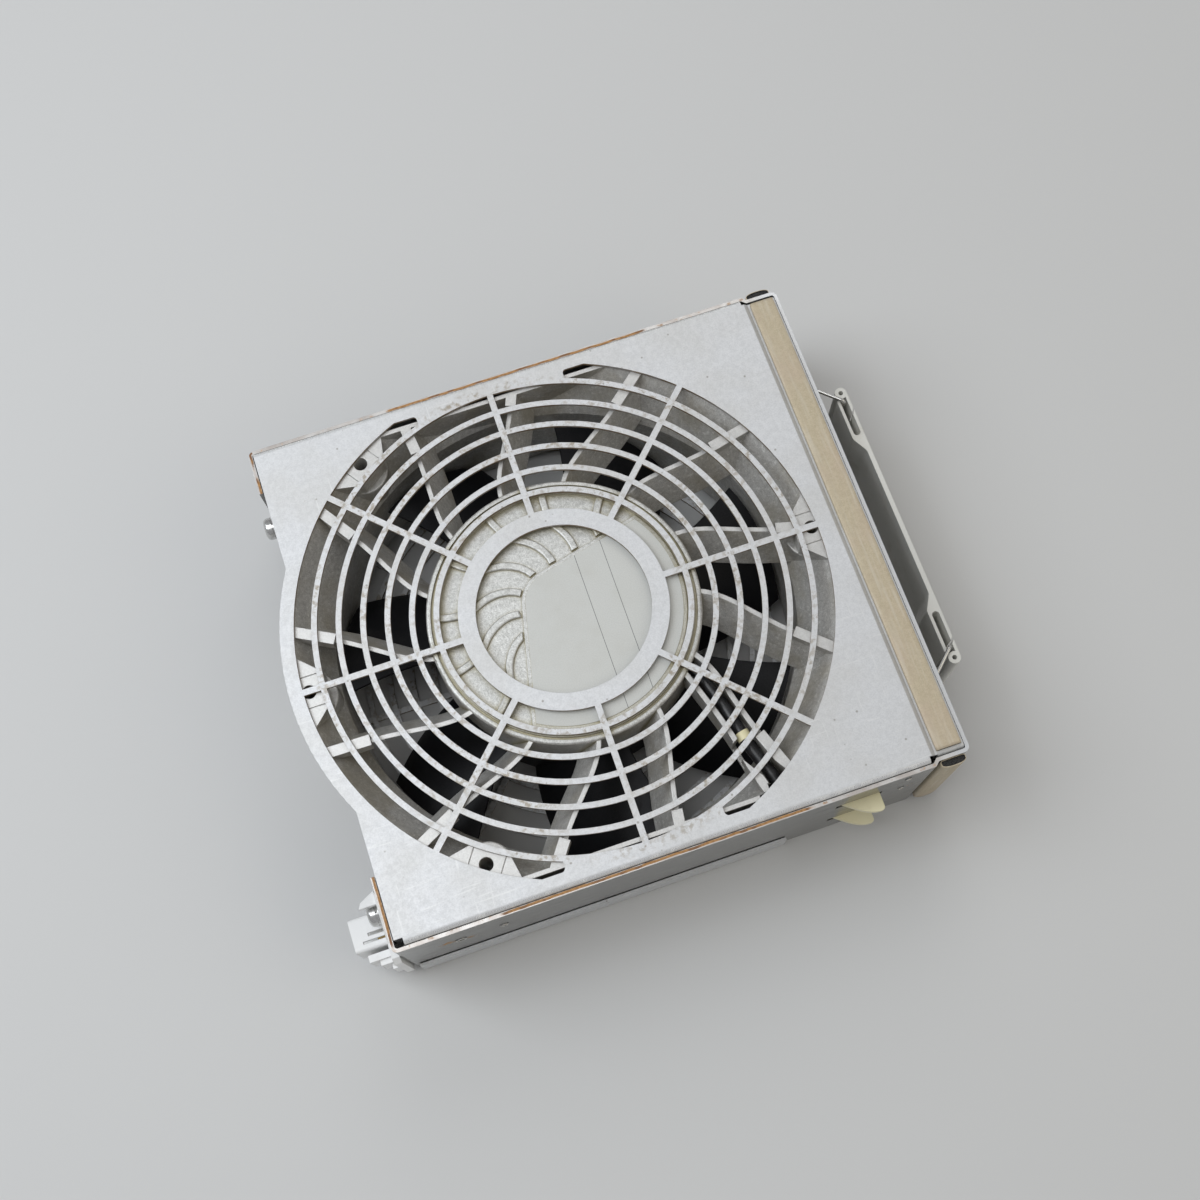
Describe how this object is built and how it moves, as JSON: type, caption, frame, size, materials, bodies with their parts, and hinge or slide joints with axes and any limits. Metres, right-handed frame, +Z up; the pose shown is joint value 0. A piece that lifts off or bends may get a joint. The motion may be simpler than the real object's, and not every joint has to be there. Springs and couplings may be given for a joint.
{
  "type": "server fan module",
  "caption": "Low square sheet-metal drawer round an axial fan, with a ring-and-spoke finger guard, a folding pull grip, sprung side latches and a rear plug.",
  "frame": {"origin": "on the fan axis, at the plane the module rests on", "axes": "+Z up through the fan and out of the main finger guard, +X towards the pull grip, -X towards the rear plug"},
  "size_m": [0.2055, 0.1756, 0.0535],
  "materials": {
    "shell": "galvanised sheet steel, smooth, with light rust on cut edges",
    "cover": "galvanised sheet steel, fine matt spangle",
    "gasket": "tan conductive fabric over foam",
    "casting": "die-cast aluminium, bead-blasted, dusty in the corners",
    "label": "pale plain label film",
    "black_plastic": "black glass-filled plastic",
    "steel": "turned steel",
    "magnet": "bonded ferrite ring",
    "lamination": "stacked steel laminations",
    "winding": "enamelled copper wire",
    "board": "green glass-fibre board",
    "cable": "black lead insulation",
    "white_plastic": "moulded white plastic",
    "brass": "turned or pressed brass",
    "fastener": "zinc-plated steel",
    "wire": "bright spring wire",
    "cream_plastic": "cream acetal",
    "grip_plastic": "off-white moulded plastic"
  },
  "bodies": {
    "housing": {"outer_shell": "shell", "top_cover": "cover", "bottom_cover": "cover", "emi_gasket_top": "gasket", "emi_gasket_bottom": "gasket", "emi_gasket_sides": "gasket", "fan_frame": "casting", "fan_label": "label", "bearing_lower": "steel", "bearing_upper": "steel", "bearing_tube": "brass", "stator_core": "lamination", "stator_windings": "winding", "fan_circuit_board": "board", "board_capacitors": "black_plastic", "fan_harness": "cable", "cable_clip": "black_plastic", "rear_connector": "white_plastic", "connector_contacts": "brass", "rear_screws": "fastener", "flat_washers": "fastener", "spring_washers": "fastener", "clinch_nuts": "fastener", "fan_screws": "fastener", "pivot_brackets": "shell", "latch_pins": "fastener", "latch_springs": "wire"},
    "rotor": {"impeller": "black_plastic", "rotor_yoke": "steel", "rotor_magnet": "magnet", "rotor_shaft": "steel", "shaft_clip": "steel"},
    "grip": {"pull_grip": "grip_plastic"},
    "link_left": {"wire_link_left": "wire"},
    "link_right": {"wire_link_right": "wire"},
    "latch_left": {"latch_lever_left": "cream_plastic"},
    "latch_right": {"latch_lever_right": "cream_plastic"}
  },
  "joints": [
    {"name": "fan_spin", "type": "hinge", "parent": "housing", "child": "rotor", "pos_m": [0, 0, 0], "axis": [0, 0, 1], "continuous": true},
    {"name": "handle_slide", "type": "slide", "parent": "housing", "child": "grip", "axis": [1, 0, 0], "range_m": [-0.0065, 0]},
    {"name": "link_left_swing", "type": "hinge", "parent": "housing", "child": "link_left", "pos_m": [0.092, 0.058, 0.0267], "axis": [0, 0, 1], "range_deg": [-19.3, 0]},
    {"name": "link_right_swing", "type": "hinge", "parent": "housing", "child": "link_right", "pos_m": [0.092, -0.064, 0.0267], "axis": [0, 0, 1], "range_deg": [0, 19.3]},
    {"name": "latch_left_press", "type": "hinge", "parent": "housing", "child": "latch_left", "pos_m": [0.0925, 0.0726, 0.0267], "axis": [0, 0, 1], "range_deg": [0, 16], "stiffness_Nm_per_rad": 0.02, "springref_deg": -10.31},
    {"name": "latch_right_press", "type": "hinge", "parent": "housing", "child": "latch_right", "pos_m": [0.0925, -0.0726, 0.0267], "axis": [0, 0, 1], "range_deg": [-16, 0], "stiffness_Nm_per_rad": 0.02, "springref_deg": 10.31}
  ],
  "couplings": [
    {"joint": "link_left_swing", "follows": "handle_slide", "rad_per_m": 51.58},
    {"joint": "link_right_swing", "follows": "handle_slide", "rad_per_m": -51.58}
  ]
}
